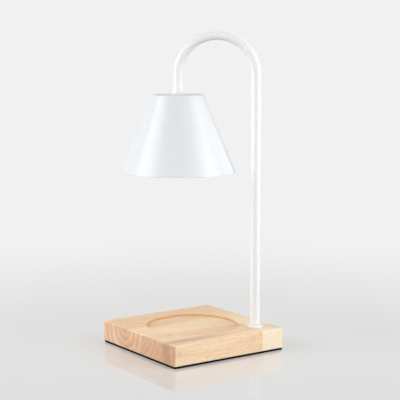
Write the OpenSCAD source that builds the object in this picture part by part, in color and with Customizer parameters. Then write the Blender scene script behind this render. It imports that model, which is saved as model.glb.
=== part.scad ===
// Candle warmer lamp: a bent steel tube carries a cone shade and a reflector bulb over a wooden base.
// The origin is the centre of the base's underside, +Z is up, and the tube stands in the +X -Y corner.

/* [Base] */
// Side of the square wooden base
base_side = 150; // [140:1:180]
// Thickness of the wood
wood_thickness = 23; // [20:0.5:30]
// Radius of the base's upright corners
corner_radius = 2.5; // [1:0.5:6]
// Radius along the base's top and bottom edges
edge_radius = 1.5; // [0.5:0.25:3]
// Diameter of the round recess that the candle stands in
recess_diameter = 105; // [80:1:108]
// Depth of the candle's recess
recess_depth = 2.5; // [1.5:0.25:3.5]
// Width of the cove round the recess's floor
recess_cove = 1.2; // [0.5:0.1:1.4]
// Thickness of the foam pad under the wood
pad_thickness = 2.5; // [1:0.25:4]
// How far the pad's edge lies inside the wood's
pad_inset = 1.5; // [0.5:0.25:5]

/* [Arm] */
// Distance of the post's axis from the two nearest sides of the base
post_inset = 23.5; // [22:0.5:27]
// Outer diameter of the arm's tube
tube_diameter = 11; // [10.5:0.25:13]
// Wall of the arm's tube
tube_wall = 1; // [0.8:0.1:1.5]
// Radius of the arch, to the tube's centreline
bend_radius = 44.5; // [42:0.5:60]
// Height of the whole lamp, from the table to the top of the arch
lamp_height = 362; // [320:0.5:410]
// Straight length of the tube between the arch and the shade
drop_length = 21; // [10:0.5:60]
// How far the arm swings to each side
swing_limit = 90; // [60:5:100]

/* [Foot] */
// Diameter of the white flange round the tube's foot
flange_diameter = 17.5; // [16.5:0.5:24]
// Height of that flange
flange_height = 3.4; // [3:0.1:6]
// Thickness of the sheet or floor in the flange and the collar
floor_thickness = 1; // [0.8:0.1:1.5]
// Diameter of the threaded end of each spigot
thread_diameter = 8; // [7:0.5:8]
// Bore through each spigot, for the leads
spigot_bore = 5.4; // [5:0.1:5.6]
// Length of each spigot's plain part inside the tube
spigot_grip = 14; // [8:0.5:20]
// Thickness of the wood that is left over the pocket under the foot
web_thickness = 5.5; // [4:0.5:7]

/* [Wiring pocket] */
// Thickness of the wood that is left between the candle's recess and the pocket
recess_web = 5; // [4:0.25:5.5]
// Radius of the pocket's round ends
pocket_radius = 14; // [14:0.25:14.5]
// Distance between the centres of the pocket's round ends
pocket_length = 40; // [38:1:44]
// How far the cover overlaps the wood round the pocket
cover_margin = 6.5; // [6:0.25:7]
// Thickness of the steel cover
cover_thickness = 1.5; // [1:0.1:1.5]
// Bore of the cable gland
gland_bore = 7; // [6:0.25:7.5]
// Length of the gland's sleeve inside the wood
gland_length = 10; // [8:0.5:14]
// Distance of the gland from the base's middle, towards the post
gland_offset = 22; // [20:0.5:26]

/* [Shade] */
// Diameter of the shade's flat top
shade_top_diameter = 59; // [54:0.5:70]
// Diameter of the shade's rim
shade_rim_diameter = 131; // [115:0.5:150]
// Height of the shade
shade_height = 88; // [86:0.5:110]
// Thickness of the shade's sheet
shade_wall = 0.7; // [0.6:0.05:1.2]
// Radius between the shade's top and its side
shade_shoulder = 2.2; // [1.5:0.1:4]
// Diameter of the small collar on top of the shade
collar_diameter = 15; // [14.5:0.25:20]
// Height of that collar
collar_height = 3.4; // [3:0.1:6]

/* [Bulb and holder] */
// Diameter of the bulb's face
bulb_diameter = 50; // [49:0.25:51]
// Length of the bulb from its face to the foot of its pins
bulb_length = 47; // [45:0.5:49]
// Diameter of the bulb's ceramic neck
neck_diameter = 21; // [20:0.5:22]
// Distance between the bulb's two pins
pin_spacing = 10; // [9.8:0.1:10.2]
// How far the bulb turns to unlock
twist_angle = 40; // [38:1:44]
// Diameter of the ceramic lampholder
holder_diameter = 28; // [27:0.5:30]
// Height of the ceramic lampholder
holder_height = 17; // [16:0.5:19]

/* [Hidden] */
$fn = 96;

slip = 0.1;           // radial clearance of a turning fit
seat_gap = 0.05;      // radial clearance of a fixed fit

// Heights, from the underside of the pad
wood_bottom = pad_thickness;
wood_top = wood_bottom + wood_thickness;
arch_centre = lamp_height - tube_diameter / 2 - bend_radius;
tube_end = arch_centre - drop_length;
shade_top = tube_end - floor_thickness;
shade_rim = shade_top - shade_height;

// The post's place, and the arm's direction: from the post across the base's middle
post_x = base_side / 2 - post_inset;
arm_direction = 135;
reach = 2 * bend_radius;

// Foot fittings, stacked down from the flange on the wood to the end of the spigot
flange_rim = 1;
flange_lip = 0.6;
swivel_washer_thickness = 0.6;
tube_foot = wood_top + floor_thickness + swivel_washer_thickness;
pocket_ceiling = wood_top - web_thickness;
slot_ceiling = wood_top - recess_depth - recess_web;
bush_flange_thickness = 1;
bush_wall = 1.5;
stop_washer_thickness = 1.5;
washer_thickness = 1.2;
nut_thickness = 5;
thin_nut_thickness = 4;
nut_across_flats = 13;
bush_flange_bottom = pocket_ceiling - bush_flange_thickness;
stop_washer_bottom = bush_flange_bottom - stop_washer_thickness;
foot_washer_bottom = stop_washer_bottom - washer_thickness;
foot_spring_bottom = foot_washer_bottom - washer_thickness;
foot_nut_bottom = foot_spring_bottom - thin_nut_thickness;
spigot_overhang = 0.8;
foot_spigot_end = foot_nut_bottom - spigot_overhang;
spigot_diameter = tube_diameter - 2 * tube_wall - 2 * seat_gap;
bush_diameter = thread_diameter + 2 * slip + 2 * bush_wall;
washer_diameter = 16;
key_flat = thread_diameter / 2 - 0.8;  // distance of the spigot's flat from its axis

// The stop: a half disc on the spigot meets a pin in the wood
stop_pin_diameter = 3;
stop_pin_radius = 11.4;
stop_hub_radius = stop_pin_radius - stop_pin_diameter / 2 - 0.3;
stop_rim_radius = stop_pin_radius + stop_pin_diameter / 2;
stop_half_angle = 180 - swing_limit - asin((stop_pin_diameter / 2 + 0.15) / stop_pin_radius);
stop_pin_grip = 3;

// Wiring pocket and what is in it
cover_top = wood_bottom + cover_thickness;
cover_screw_radius = (2 * pocket_radius + cover_margin) / 2 + 0.2;
screw_diameter = 2.6;
screw_head_diameter = 4.8;
screw_length = 9;
gland_rise = 8.5;     // height of the gland's axis above the wood's underside
gland_height = wood_bottom + gland_rise;
gland_sleeve_wall = 1.6;
gland_flange_diameter = 14;
gland_flange_thickness = 2;
cable_room = 1;       // the plain hole is this much wider than the gland's bore
terminal_length = 17;
terminal_width = 17;
terminal_height = 10;
terminal_place = pocket_length - terminal_length / 2 + 1;
terminal_pitch = 8;
terminal_bottom = slot_ceiling - terminal_height;
terminal_hole = 3.4;
terminal_axis = terminal_bottom + 4.6;
terminal_screw_diameter = 2.8;
terminal_screw_sink = 0.4;
screw_clearance = 0.1;
driver_slot_width = 0.6;
driver_slot_depth = 0.8;

// Leads
lead_diameter = 2.2;
lead_offset = lead_diameter / 2 + 0.25;
lead_sides = 8;
lead_rings = 26;
lead_low = cover_top + lead_diameter / 2 + 0.4;

// Head fittings, stacked down from the shade's top
gasket_thickness = 1;
bracket_thickness = 1.2;
lock_washer_thickness = 0.8;
head_gasket_bottom = shade_top - shade_wall - gasket_thickness;
bracket_plate_bottom = head_gasket_bottom - bracket_thickness;
head_lock_bottom = bracket_plate_bottom - lock_washer_thickness;
head_nut_bottom = head_lock_bottom - nut_thickness;
head_spigot_end = head_nut_bottom - spigot_overhang;
lead_room = 6;
collar_lip = 1;
collar_wall = 0.4;
holder_top = head_spigot_end - lead_room;
holder_bottom = holder_top - holder_height;
gasket_diameter = 24;
bracket_width = 9;
bracket_foot = 7;

// Lampholder and bulb
lip_thickness = 3;
chamber_radius = 8;
back_height = 7;
back_bottom = holder_top - back_height;
pin_neck_diameter = 3;
pin_head_diameter = 5;
pin_length = 7;
bulb_gap = 0.4;       // from the holder's face to the bulb's neck
pin_head_height = pin_length - bulb_gap - lip_thickness - 0.2;
pin_radius = pin_spacing / 2;
contact_thickness = 0.5;
contact_width = 4;
contact_length = 4.4;
contact_place = 3.1;  // distance of each contact's upright from the holder's axis
contact_rise = 1.5;   // how far each contact's tail reaches into its well
contact_gap = 0.15;
holder_screw_place = 10.6;
holder_screw_diameter = 2.5;
holder_head_diameter = 4.6;
holder_head_height = 1.6;
holder_head_sink = 2;
bulb_top = holder_bottom - bulb_gap;
bulb_face = bulb_top - bulb_length;
neck_height = 15;
neck_cup_depth = 9;
neck_cup_radius = 7;
stem_wall = 1.6;
stem_height = 6;
capsule_pinch = [7, 3, 6];
glass_wall = 1.4;
face_rim_height = 4;
front_glass_thickness = 1.6;
front_glass_radius = bulb_diameter / 2 - 2;
face_seat = 2;        // height of the front glass's seat above the bulb's rim
reflector_steps = 14;
capsule_diameter = 9;
capsule_height = 16;

// ---------- shared shapes ----------

// A rectangle with round corners, as plain squares and circles so that its corners stay true arcs
module round_rectangle(width, depth, radius) {
    square([width - 2 * radius, depth], center = true);
    square([width, depth - 2 * radius], center = true);
    for (x = [-1, 1], y = [-1, 1])
        translate([x * (width / 2 - radius), y * (depth / 2 - radius)]) circle(radius);
}

// A slot outline with round ends, from the origin along +X
module slot_outline(length, radius) {
    circle(radius);
    translate([length, 0]) circle(radius);
    translate([0, -radius]) square([length, 2 * radius]);
}

module ring(outer, inner, height) {
    difference() {
        cylinder(d = outer, h = height);
        translate([0, 0, -1]) cylinder(d = inner, h = height + 2);
    }
}

module hexagon_nut(flats, bore, height) {
    difference() {
        intersection() {
            cylinder(d = flats / cos(30), h = height, $fn = 6);
            rotate_extrude() polygon([
                [0, 0], [flats / 2 - 0.2, 0], [flats / cos(30) / 2, 0.9],
                [flats / cos(30) / 2, height - 0.9], [flats / 2 - 0.2, height], [0, height]]);
        }
        translate([0, 0, -1]) cylinder(d = bore, h = height + 2);
    }
}

// A split spring washer: its slit is cut across one side
module split_washer(outer, inner, height) {
    slit = 1;
    difference() {
        ring(outer, inner, height);
        rotate([0, 0, 60]) translate([inner / 2 - 1, -slit / 2, -1]) cube([outer, slit, height + 2]);
    }
}

// The slot that a driver turns, cut up into a screw's head
module driver_slot(length) {
    translate([-length / 2, -driver_slot_width / 2, -1])
        cube([length, driver_slot_width, driver_slot_depth + 1]);
}

// Points of an arc, counted in steps, from angle a to angle b
function arc(x, y, radius, a, b, steps) =
    [for (i = [0:steps]) let (turn = a + (b - a) * i / steps) [x + radius * cos(turn), y + radius * sin(turn)]];

// Places its children on the post's axis, with +X along the arm
module at_post() { translate([post_x, -post_x, 0]) rotate([0, 0, arm_direction]) children(); }

// Places its children on the shade's axis, turned as the arm is
module at_head() { at_post() translate([reach, 0, 0]) children(); }

// Places its children at the cover's four screws, measured from the post's axis
module at_cover_screws() {
    for (x = [0, pocket_length], y = [-1, 1]) translate([x, y * cover_screw_radius, 0]) children();
}

// ---------- base ----------

module wood_block() {
    bottom = wood_bottom;
    middle = bottom + wood_thickness / 2;
    intersection() {
        translate([0, 0, bottom]) linear_extrude(wood_thickness)
            round_rectangle(base_side, base_side, corner_radius);
        translate([0, 0, middle]) rotate([90, 0, 0]) linear_extrude(base_side, center = true)
            round_rectangle(base_side, wood_thickness, edge_radius);
        translate([0, 0, middle]) rotate([90, 0, 90]) linear_extrude(base_side, center = true)
            round_rectangle(base_side, wood_thickness, edge_radius);
    }
}

module wood_base() {
    color("burlywood") difference() {
        wood_block();
        // the candle's recess, with a cove round its floor
        translate([0, 0, wood_top - recess_depth]) rotate_extrude() polygon(concat(
            [[0, recess_depth + 1], [0, 0]],
            arc(recess_diameter / 2 - recess_cove, recess_cove, recess_cove, -90, 0, 5),
            [[recess_diameter / 2, recess_depth + 1]]));
        at_post() {
            // hole for the bush
            cylinder(d = bush_diameter + 2 * seat_gap, h = wood_top + 1);
            // deep round pocket under the foot, and a shallower slot under the candle's recess
            translate([0, 0, wood_bottom - 1])
                cylinder(r = pocket_radius, h = pocket_ceiling - wood_bottom + 1);
            translate([0, 0, wood_bottom - 1]) linear_extrude(slot_ceiling - wood_bottom + 1)
                slot_outline(pocket_length, pocket_radius);
            // rebate for the cover
            translate([0, 0, wood_bottom - 1]) linear_extrude(cover_thickness + 1)
                slot_outline(pocket_length, pocket_radius + cover_margin + seat_gap);
            translate([-stop_pin_radius, 0, pocket_ceiling - 1])
                cylinder(d = stop_pin_diameter + 2 * seat_gap, h = 1 + stop_pin_grip + seat_gap);
            at_cover_screws() translate([0, 0, cover_top - 1])
                cylinder(d = screw_diameter + 2 * seat_gap, h = screw_length - cover_thickness + 2);
        }
        // the cable's way in: a counterbore for the gland, then a plain hole to the pocket
        translate([base_side / 2 + 1, -gland_offset, gland_height]) rotate([0, -90, 0]) {
            cylinder(d = gland_bore + 2 * gland_sleeve_wall + 2 * seat_gap, h = gland_length + 1);
            cylinder(d = gland_bore + cable_room, h = base_side / 2 - pocket_end_x() + 1);
        }
    }
}

// X where the cable's hole has reached the middle of the pocket
function pocket_end_x() = post_x + cos(arm_direction) * pocket_length;

module foam_pad() {
    side = base_side - 2 * pad_inset;
    color([0.06, 0.06, 0.06]) linear_extrude(pad_thickness) round_rectangle(side, side, corner_radius);
}

module wiring_cover() {
    color("silver") at_post() translate([0, 0, wood_bottom]) difference() {
        linear_extrude(cover_thickness) slot_outline(pocket_length, pocket_radius + cover_margin);
        at_cover_screws() {
            translate([0, 0, -1]) cylinder(d = screw_diameter + 4 * seat_gap, h = cover_thickness + 2);
            translate([0, 0, -0.01]) cylinder(
                d1 = screw_head_diameter + 2 * seat_gap, d2 = screw_diameter + 2 * seat_gap,
                h = (screw_head_diameter - screw_diameter) / 2 + 0.01);
        }
    }
}

module cover_screws() {
    head = (screw_head_diameter - screw_diameter) / 2;
    color("silver") at_post()
        at_cover_screws() translate([0, 0, wood_bottom]) difference() {
            union() {
                cylinder(d1 = screw_head_diameter, d2 = screw_diameter, h = head);
                translate([0, 0, head]) cylinder(d = screw_diameter, h = screw_length - head - 1.5);
                translate([0, 0, screw_length - 1.5]) cylinder(d1 = screw_diameter, d2 = 0.4, h = 1.5);
            }
            for (a = [0, 90]) rotate([0, 0, a]) driver_slot(screw_diameter);
        }
}

module cable_gland() {
    color([0.93, 0.93, 0.92]) translate([base_side / 2, -gland_offset, gland_height]) rotate([0, 90, 0])
        rotate_extrude() polygon([
            [gland_bore / 2, -gland_length], [gland_bore / 2 + gland_sleeve_wall, -gland_length],
            [gland_bore / 2 + gland_sleeve_wall, 0], [gland_flange_diameter / 2, 0],
            [gland_flange_diameter / 2, gland_flange_thickness - 0.8],
            [gland_flange_diameter / 2 - 0.8, gland_flange_thickness],
            [gland_bore / 2, gland_flange_thickness]]);
}

module at_terminals() {
    at_post() translate([terminal_place, 0, 0])
        for (y = [-1, 1]) translate([0, y * terminal_pitch / 2, 0]) children();
}

module terminal_block() {
    color([0.9, 0.88, 0.82]) difference() {
        at_post() translate([terminal_place, 0, terminal_bottom]) {
            translate([0, 0, 3]) linear_extrude(terminal_height - 3)
                round_rectangle(terminal_length, terminal_width, 1);
            for (y = [-1, 1]) translate([0, y * terminal_pitch / 2, 0])
                linear_extrude(3.5) round_rectangle(terminal_length - 3, terminal_pitch - 1.2, 1);
        }
        at_terminals() {
            translate([-terminal_length, 0, terminal_axis]) rotate([0, 90, 0])
                cylinder(d = terminal_hole + 1.6 + 2 * seat_gap, h = 2 * terminal_length);
            for (x = [-1, 1]) translate([x * terminal_length / 4, 0, terminal_bottom - 1])
                cylinder(d = terminal_screw_diameter + 0.6, h = terminal_axis - terminal_bottom + 1);
        }
    }
}

module terminal_inserts() {
    color("goldenrod") at_terminals() translate([-terminal_length / 2 + 1, 0, terminal_axis]) difference() {
        rotate([0, 90, 0]) cylinder(d = terminal_hole + 1.6, h = terminal_length - 2);
        translate([-1, 0, 0]) rotate([0, 90, 0]) cylinder(d = terminal_hole, h = terminal_length);
        for (x = [1, 3]) translate([x * terminal_length / 4 - 1, 0, -terminal_hole])
            cylinder(d = terminal_screw_diameter + 2 * seat_gap, h = terminal_hole);
    }
}

module terminal_screws() {
    color("silver") at_terminals() for (x = [-1, 1])
        translate([x * terminal_length / 4, 0, terminal_bottom + terminal_screw_sink]) difference() {
            cylinder(d = terminal_screw_diameter, h = terminal_axis - lead_diameter / 2 - screw_clearance
                - terminal_bottom - terminal_screw_sink);
            driver_slot(terminal_screw_diameter);
        }
}

// The leads in the pocket run from under the spigot, along the cover, and up into the terminals
function lead_route(side) = [
    [0, side * lead_offset, foot_spigot_end - 0.3],
    [0.3, side * lead_offset, foot_spigot_end - 1.6],
    [1.4, side * lead_offset, lead_low + 0.5],
    [3.5, side * lead_offset, lead_low],
    [8, side * (lead_offset + 0.4), lead_low],
    [13, side * (terminal_pitch / 2 - 0.8), lead_low + 1.4],
    [18, side * terminal_pitch / 2, terminal_axis - 1],
    [terminal_place - terminal_length / 2 + 2, side * terminal_pitch / 2, terminal_axis],
    [terminal_place - 2, side * terminal_pitch / 2, terminal_axis]];

// Catmull-Rom point at place t along a list of points
function knot(points, i) = points[max(0, min(len(points) - 1, i))];
function spline(points, t) =
    let (i = min(floor(t), len(points) - 2), u = t - i,
         a = knot(points, i - 1), b = knot(points, i), c = knot(points, i + 1), d = knot(points, i + 2))
    0.5 * (2 * b + (c - a) * u + (2 * a - 5 * b + 4 * c - d) * u * u + (3 * b - a - 3 * c + d) * u * u * u);

// A tube swept along a route that stays near one upright plane: each ring is square to the route
module swept_lead(points, diameter) {
    count = lead_rings;
    last = len(points) - 1;
    places = [for (i = [0:count]) spline(points, last * i / count)];
    ways = [for (i = [0:count])
        let (way = places[min(i + 1, count)] - places[max(i - 1, 0)]) way / norm(way)];
    rings = [for (i = [0:count]) let (across = [0, 1, 0], over = cross(across, ways[i]),
                                      side = cross(ways[i], over / norm(over)))
        for (k = [0:lead_sides - 1]) let (a = 360 * (k + 0.5) / lead_sides)
            places[i] + diameter / 2 * (cos(a) * side + sin(a) * over / norm(over))];
    walls = [for (i = [0:count - 1], k = [0:lead_sides - 1])
        let (a = i * lead_sides + k, b = i * lead_sides + (k + 1) % lead_sides)
            each [[a, b, b + lead_sides], [a, b + lead_sides, a + lead_sides]]];
    ends = [for (k = [1:lead_sides - 2]) each [
        [0, k + 1, k], [count * lead_sides, count * lead_sides + k, count * lead_sides + k + 1]]];
    polyhedron(rings, concat(walls, ends));
}

module base_leads() {
    color([0.85, 0.85, 0.85]) at_post() for (side = [-1, 1]) swept_lead(lead_route(side), lead_diameter);
}

// A low round flange: a rounded rim, a slope up to the tube, and a counterbore for the tube's end
module foot_flange() {
    tube_hole = tube_diameter / 2 + slip;
    spigot_hole = thread_diameter / 2 + slip;
    rim_height = flange_height / 2;
    color("white") at_post() translate([0, 0, wood_top]) rotate_extrude() polygon(concat(
        [[spigot_hole, 0], [flange_diameter / 2, 0]],
        arc(flange_diameter / 2 - flange_rim, rim_height - flange_rim / 2, flange_rim, 0, 80, 5),
        arc(tube_hole + flange_lip, flange_height - flange_lip, flange_lip, 60, 90, 3),
        [[tube_hole, flange_height], [tube_hole, floor_thickness], [spigot_hole, floor_thickness]]));
}

module swivel_washer() {
    color("ivory") at_post() translate([0, 0, wood_top + floor_thickness])
        ring(tube_diameter - slip, thread_diameter + 2 * slip, swivel_washer_thickness);
}

module post_bush() {
    color("ivory") at_post() difference() {
        union() {
            translate([0, 0, pocket_ceiling]) cylinder(d = bush_diameter, h = web_thickness);
            translate([0, 0, bush_flange_bottom]) cylinder(r = stop_hub_radius, h = bush_flange_thickness);
        }
        translate([0, 0, bush_flange_bottom - 1])
            cylinder(d = thread_diameter + 2 * slip, h = web_thickness + 3);
    }
}

module stop_pin() {
    color("silver") at_post() translate([-stop_pin_radius, 0, stop_washer_bottom])
        cylinder(d = stop_pin_diameter, h = pocket_ceiling + stop_pin_grip - stop_washer_bottom);
}

// ---------- arm ----------

// The tube's line as a solid of the given diameter: the post, the half-round arch and the short leg
module arm_line(diameter, bottom, end) {
    translate([0, 0, bottom]) cylinder(d = diameter, h = arch_centre - bottom);
    translate([bend_radius, 0, arch_centre]) rotate([90, 0, 0])
        rotate_extrude(angle = 180) translate([bend_radius, 0]) circle(d = diameter);
    translate([reach, 0, end]) cylinder(d = diameter, h = arch_centre - end);
}

module arm_tube() {
    color("white") at_post() difference() {
        arm_line(tube_diameter, tube_foot, tube_end);
        arm_line(tube_diameter - 2 * tube_wall, tube_foot - 1, tube_end - 1);
    }
}

// A hollow turned spigot. It grips the tube above its shoulder and is threaded below it.
module spigot(shoulder, end, keyed) {
    difference() {
        union() {
            translate([0, 0, shoulder]) cylinder(d = spigot_diameter, h = spigot_grip);
            difference() {
                translate([0, 0, end]) cylinder(d = thread_diameter, h = shoulder - end);
                if (keyed) translate([key_flat, -thread_diameter, end - 1])
                    cube([thread_diameter, 2 * thread_diameter, bush_flange_bottom - end + 1]);
            }
        }
        translate([0, 0, end - 1]) cylinder(d = spigot_bore, h = shoulder + spigot_grip - end + 2);
    }
}

module foot_spigot() { color("silver") at_post() spigot(tube_foot, foot_spigot_end, true); }

module stop_washer() {
    color("silver") at_post() translate([0, 0, stop_washer_bottom]) difference() {
        union() {
            cylinder(r = stop_hub_radius, h = stop_washer_thickness);
            rotate([0, 0, -stop_half_angle]) rotate_extrude(angle = 2 * stop_half_angle)
                translate([thread_diameter / 2 + 1, 0])
                    square([stop_rim_radius - thread_diameter / 2 - 1, stop_washer_thickness]);
        }
        difference() {
            translate([0, 0, -1])
                cylinder(d = thread_diameter + 2 * seat_gap, h = stop_washer_thickness + 2);
            translate([key_flat + seat_gap, -thread_diameter, -2])
                cube([thread_diameter, 2 * thread_diameter, stop_washer_thickness + 4]);
        }
    }
}

module foot_washer() {
    color("silver") at_post() translate([0, 0, foot_washer_bottom])
        ring(washer_diameter, thread_diameter + 2 * seat_gap, washer_thickness);
}

module foot_spring_washer() {
    color("dimgray") at_post() translate([0, 0, foot_spring_bottom])
        split_washer(washer_diameter - 2, thread_diameter + 2 * seat_gap, washer_thickness);
}

module foot_nut() {
    color("silver") at_post() translate([0, 0, foot_nut_bottom])
        hexagon_nut(nut_across_flats, thread_diameter + 2 * seat_gap, thin_nut_thickness);
}

module arm_leads() {
    color([0.85, 0.85, 0.85]) at_post() for (side = [-1, 1]) translate([0, side * lead_offset, 0])
        arm_line(lead_diameter, foot_spigot_end, holder_top - 3);
}

module head_spigot() { color("silver") at_head() spigot(tube_end, head_spigot_end, false); }

// The collar's side is a hollow curve, from a thin lip up to the tube
module shade_collar() {
    flare = min(collar_diameter / 2 - tube_diameter / 2 - collar_wall, collar_height - collar_lip);
    color("white") at_head() translate([0, 0, shade_top]) rotate_extrude() polygon(concat(
        [[thread_diameter / 2 + seat_gap, 0], [collar_diameter / 2, 0], [collar_diameter / 2, collar_lip]],
        arc(collar_diameter / 2, collar_lip + flare, flare, -90, -180, 6),
        [[tube_diameter / 2 + seat_gap, collar_height],
         [tube_diameter / 2 + seat_gap, floor_thickness],
         [thread_diameter / 2 + seat_gap, floor_thickness]]));
}

// Half the shade's section: a flat top, a round shoulder and a straight side. The inner skin is the
// same outline moved in by the sheet's thickness and carried on below the rim, to cut the inside away.
module shade_outline(inset) {
    lean = atan((shade_rim_diameter - shade_top_diameter) / 2 / shade_height);
    below = inset > 0 ? 1 : 0;
    shoulder_x = shade_top_diameter / 2 - shade_shoulder * tan((90 - lean) / 2);
    rim_x = shade_rim_diameter / 2 - inset / cos(lean) + below * tan(lean);
    polygon(concat(
        [[0, -below], [rim_x, -below]],
        arc(shoulder_x, shade_height - shade_shoulder, shade_shoulder - inset, lean, 90, 6),
        [[0, shade_height - inset]]));
}

module shade() {
    color([0.95, 0.96, 0.98]) at_head() translate([0, 0, shade_rim]) difference() {
        rotate_extrude() shade_outline(0);
        rotate_extrude() shade_outline(shade_wall);
        translate([0, 0, shade_height - 2]) cylinder(d = thread_diameter + 2 * seat_gap, h = 4);
    }
}

module shade_gasket() {
    color("sienna") at_head() translate([0, 0, head_gasket_bottom])
        ring(gasket_diameter, thread_diameter + 2 * seat_gap, gasket_thickness);
}

module holder_bracket() {
    half = holder_diameter / 2;
    color("silver") at_head() difference() {
        union() {
            translate([-half, -bracket_width / 2, bracket_plate_bottom])
                cube([2 * half, bracket_width, bracket_thickness]);
            for (side = [0, 1]) mirror([side, 0, 0]) translate([half, -bracket_width / 2, holder_top]) {
                translate([-bracket_thickness, 0, 0])
                    cube([bracket_thickness, bracket_width, head_gasket_bottom - holder_top]);
                translate([-bracket_foot, 0, 0]) cube([bracket_foot, bracket_width, bracket_thickness]);
            }
        }
        translate([0, 0, bracket_plate_bottom - 1]) cylinder(d = thread_diameter + 2 * seat_gap, h = 4);
        for (side = [-1, 1]) translate([side * holder_screw_place, 0, holder_top - 1])
            cylinder(d = holder_screw_diameter + 2 * seat_gap, h = 4);
    }
}

module head_lock_washer() {
    color("dimgray") at_head() translate([0, 0, head_lock_bottom])
        split_washer(washer_diameter - 2, thread_diameter + 2 * seat_gap, lock_washer_thickness);
}

module head_nut() {
    color("silver") at_head() translate([0, 0, head_nut_bottom])
        hexagon_nut(nut_across_flats, thread_diameter + 2 * seat_gap, nut_thickness);
}

// ---------- lampholder ----------

module holder_screw_holes(diameter) {
    for (side = [-1, 1]) translate([side * holder_screw_place, 0, holder_bottom - 1])
        cylinder(d = diameter, h = holder_height + 2);
}

// One keyhole: a round mouth for the pin's head, and a curved slot that the pin's neck slides along
module keyhole(height) {
    mouth = pin_head_diameter + 0.8;
    neck = pin_neck_diameter + 0.7;
    rotate([0, 0, -twist_angle]) translate([pin_radius, 0, 0]) cylinder(d = mouth, h = height);
    rotate([0, 0, -twist_angle]) rotate_extrude(angle = twist_angle)
        translate([pin_radius - neck / 2, 0]) square([neck, height]);
    translate([pin_radius, 0, 0]) cylinder(d = neck, h = height);
}

module holder_front() {
    color([0.93, 0.92, 0.88]) at_head() difference() {
        translate([0, 0, holder_bottom]) cylinder(d = holder_diameter, h = back_bottom - holder_bottom);
        translate([0, 0, holder_bottom + lip_thickness]) cylinder(r = chamber_radius, h = holder_height);
        for (a = [90, 270]) rotate([0, 0, a]) translate([0, 0, holder_bottom - 1])
            keyhole(lip_thickness + 2);
        holder_screw_holes(holder_screw_diameter + 4 * seat_gap);
        for (side = [-1, 1]) translate([side * holder_screw_place, 0, holder_bottom - 1])
            cylinder(d = holder_head_diameter + 4 * seat_gap, h = holder_head_sink + 1);
    }
}

module holder_back() {
    color([0.93, 0.92, 0.88]) at_head() difference() {
        translate([0, 0, back_bottom]) rotate_extrude() polygon([
            [0, 0], [holder_diameter / 2, 0], [holder_diameter / 2, back_height - 1],
            [holder_diameter / 2 - 1, back_height], [0, back_height]]);
        holder_screw_holes(holder_screw_diameter + 4 * seat_gap);
        for (side = [-1, 1]) translate([0, side * lead_offset, back_bottom - 1])
            cylinder(d = lead_diameter + 2 * slip, h = back_height + 2);
        // wells for the contacts' tails
        for (a = [0, 180]) rotate([0, 0, a])
            translate([-contact_width / 2 - 0.2, contact_place - 0.2, back_bottom - 1])
                cube([contact_width + 0.4, contact_length + 0.4, contact_rise + 1]);
    }
}

// Two spring leaves: each hangs from its well in the holder's back and lies over one pin's head
module holder_contacts() {
    leaf_bottom = bulb_top + pin_length + contact_gap;
    tail_bottom = back_bottom + contact_rise - contact_thickness;
    color("goldenrod") at_head() for (a = [0, 180]) rotate([0, 0, a])
        translate([-contact_width / 2, contact_place, 0]) {
            translate([0, 0, tail_bottom]) cube([contact_width, contact_length, contact_thickness]);
            translate([0, 0, leaf_bottom])
                cube([contact_width, contact_thickness, tail_bottom - leaf_bottom]);
            translate([0, 0, leaf_bottom]) cube([contact_width, contact_length, contact_thickness]);
        }
}

module holder_screws() {
    head_bottom = holder_bottom + holder_head_sink - holder_head_height;
    screw_top = holder_top + bracket_thickness + 0.8;
    color("silver") at_head() for (side = [-1, 1]) translate([side * holder_screw_place, 0, head_bottom])
        difference() {
            union() {
                cylinder(d = holder_head_diameter, h = holder_head_height);
                cylinder(d = holder_screw_diameter, h = screw_top - head_bottom);
            }
            driver_slot(holder_head_diameter + 1);
        }
}

// ---------- bulb ----------

// A bowl's profile, a parabola from its mouth at height low to its neck at height high
function bowl_points(low, high, mouth, neck) = [for (i = [0:reflector_steps])
    let (u = 1 - i / reflector_steps) [neck + (mouth - neck) * u, low + (high - low) * (1 - u * u)]];

module bulb_base() {
    color([0.94, 0.93, 0.9]) at_head() translate([0, 0, bulb_top]) rotate_extrude() polygon([
        [0, 0], [0, neck_cup_depth - neck_height], [neck_cup_radius, neck_cup_depth - neck_height],
        [neck_cup_radius, -neck_height], [neck_diameter / 2 - 1, -neck_height],
        [neck_diameter / 2, 3 - neck_height], [neck_diameter / 2, -1.2], [neck_diameter / 2 - 1.2, 0]]);
}

module bulb_pins() {
    color("silver") at_head() for (a = [90, 270]) rotate([0, 0, a]) translate([pin_radius, 0, bulb_top]) {
        cylinder(d = pin_neck_diameter, h = pin_length - pin_head_height + 0.01);
        translate([0, 0, pin_length - pin_head_height]) cylinder(d = pin_head_diameter, h = pin_head_height);
    }
}

// The glass reflector: a bowl of even wall whose stem stands in the ceramic neck
module bulb_reflector() {
    neck_foot = bulb_length - neck_height;
    stem_top = neck_foot + stem_height;
    stem_inside = neck_cup_radius - stem_wall;
    outside = bowl_points(face_rim_height, neck_foot, bulb_diameter / 2, neck_diameter / 2 - 1);
    inside = bowl_points(face_seat + 0.5, neck_foot - glass_wall, front_glass_radius - 1, stem_inside);
    color([0.8, 0.82, 0.85, 0.6]) at_head() translate([0, 0, bulb_face]) rotate_extrude() polygon(concat(
        [[front_glass_radius + seat_gap, 0], [bulb_diameter / 2 - 0.4, 0], [bulb_diameter / 2, 0.4]],
        outside,
        [[neck_cup_radius - seat_gap, neck_foot], [neck_cup_radius - seat_gap, stem_top],
         [stem_inside, stem_top]],
        [for (i = [reflector_steps:-1:0]) inside[i]],
        [[front_glass_radius - 1, face_seat], [front_glass_radius + seat_gap, face_seat]]));
}

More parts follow.
